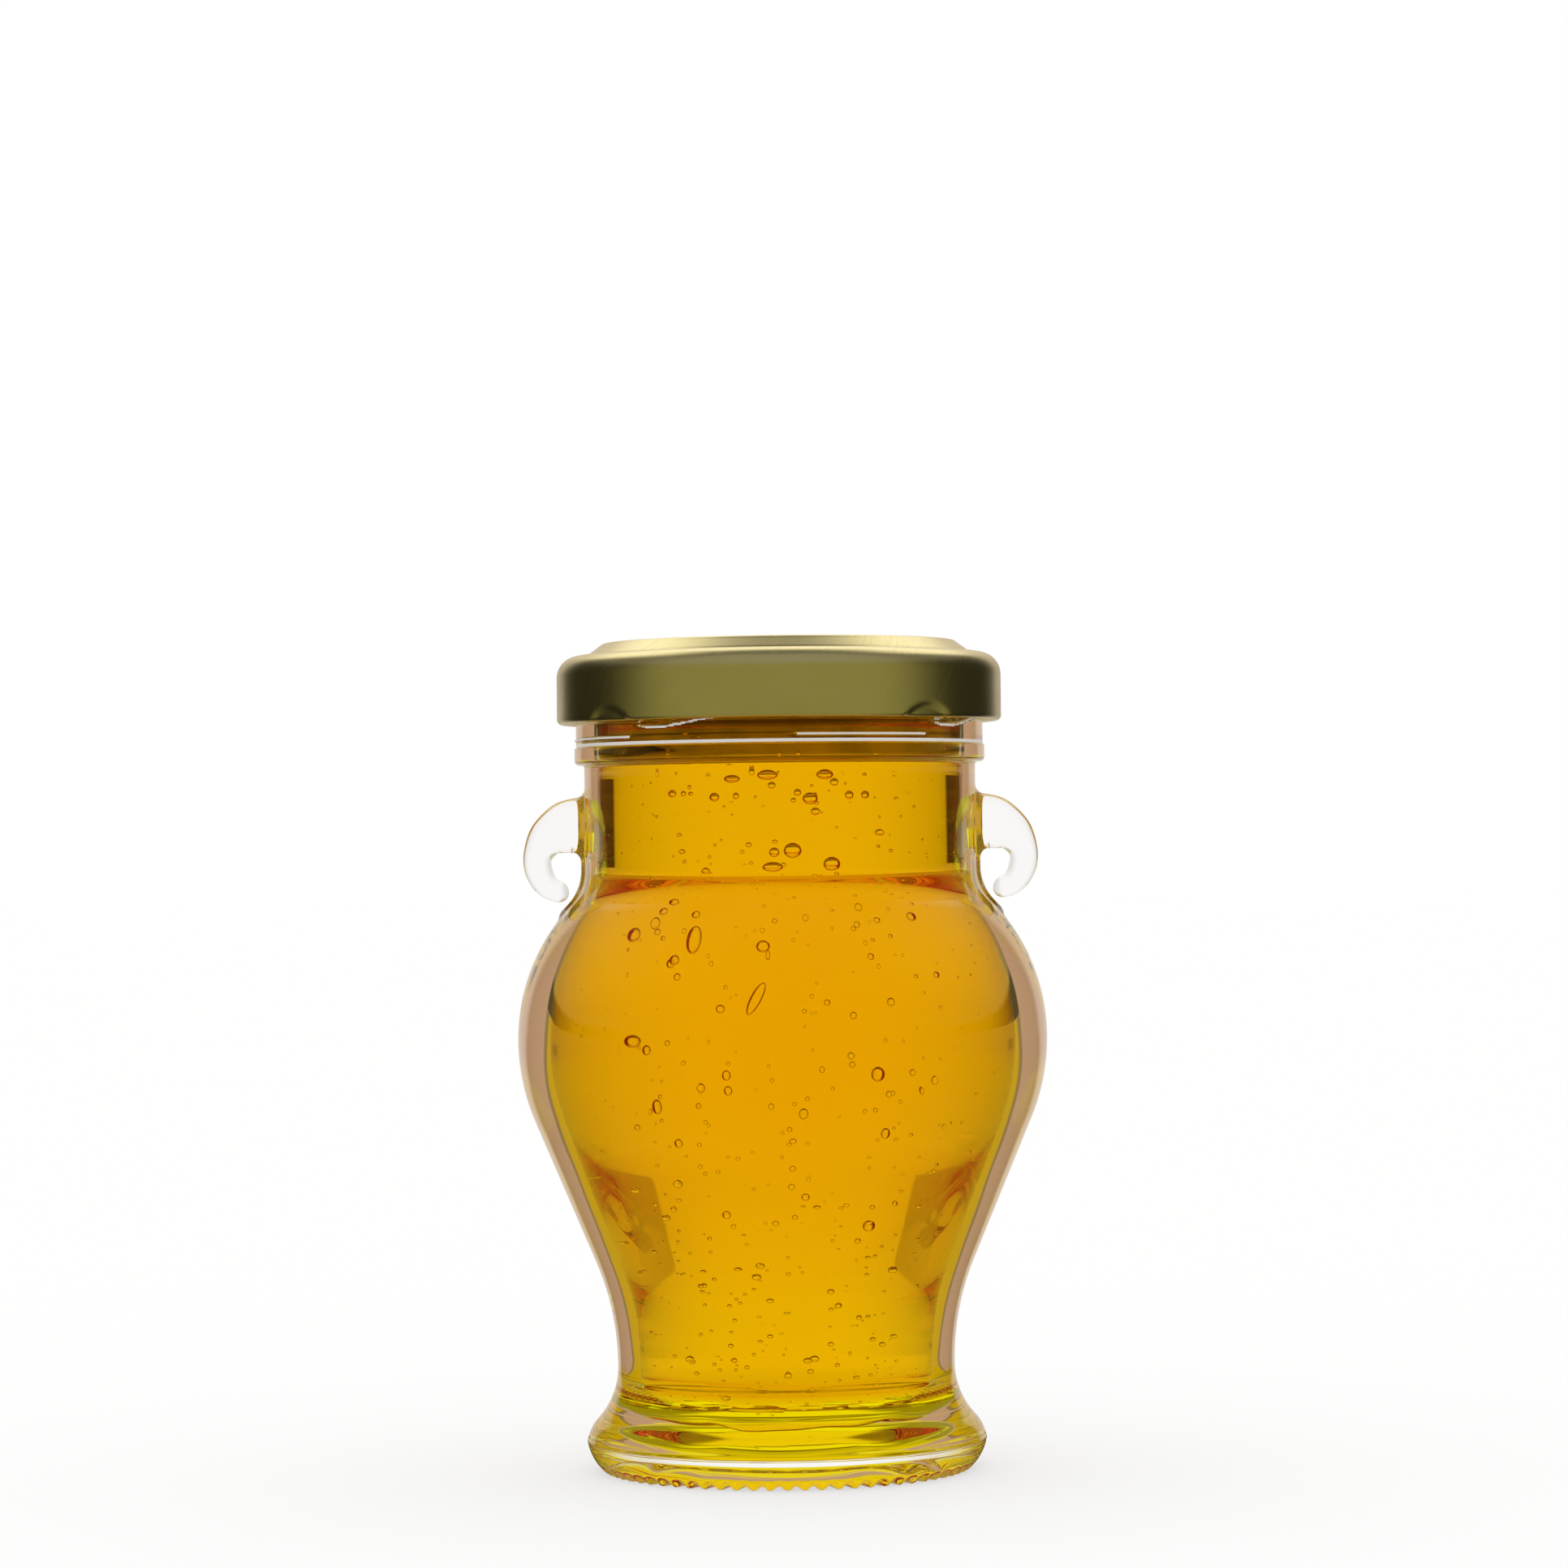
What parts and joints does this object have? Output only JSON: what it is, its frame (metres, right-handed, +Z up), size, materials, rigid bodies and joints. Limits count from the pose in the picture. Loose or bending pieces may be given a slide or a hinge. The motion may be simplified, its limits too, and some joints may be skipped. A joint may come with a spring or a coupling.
{
  "type": "honey jar",
  "caption": "Amphora-shaped clear glass jar of round section with curled ear handles, filled with honey and closed by a gold twist-off lug lid.",
  "frame": {"origin": "centre of the standing ring, in the plane that the jar stands on", "axes": "+Z up along the jar's axis, +X along one ear, front of the jar towards -Y"},
  "size_m": [0.0664, 0.0664, 0.1038],
  "materials": {
    "clear_glass": "polished",
    "amber_honey": "gloss",
    "gold_lacquer": "satin",
    "seal_compound": "matte"
  },
  "bodies": {
    "jar": {"glass_jar": "clear_glass", "honey": "amber_honey"},
    "seal": {"sealing_ring": "seal_compound"},
    "lid": {"lid_shell": "gold_lacquer"}
  },
  "joints": [
    {"name": "lid_lift", "type": "slide", "parent": "jar", "child": "seal", "axis": [0, 0, 1], "range_m": [0, 0.05]},
    {"name": "lid_twist", "type": "hinge", "parent": "seal", "child": "lid", "pos_m": [0, 0, 0.0977], "axis": [0, 0, 1], "range_deg": [-38, 0]}
  ]
}
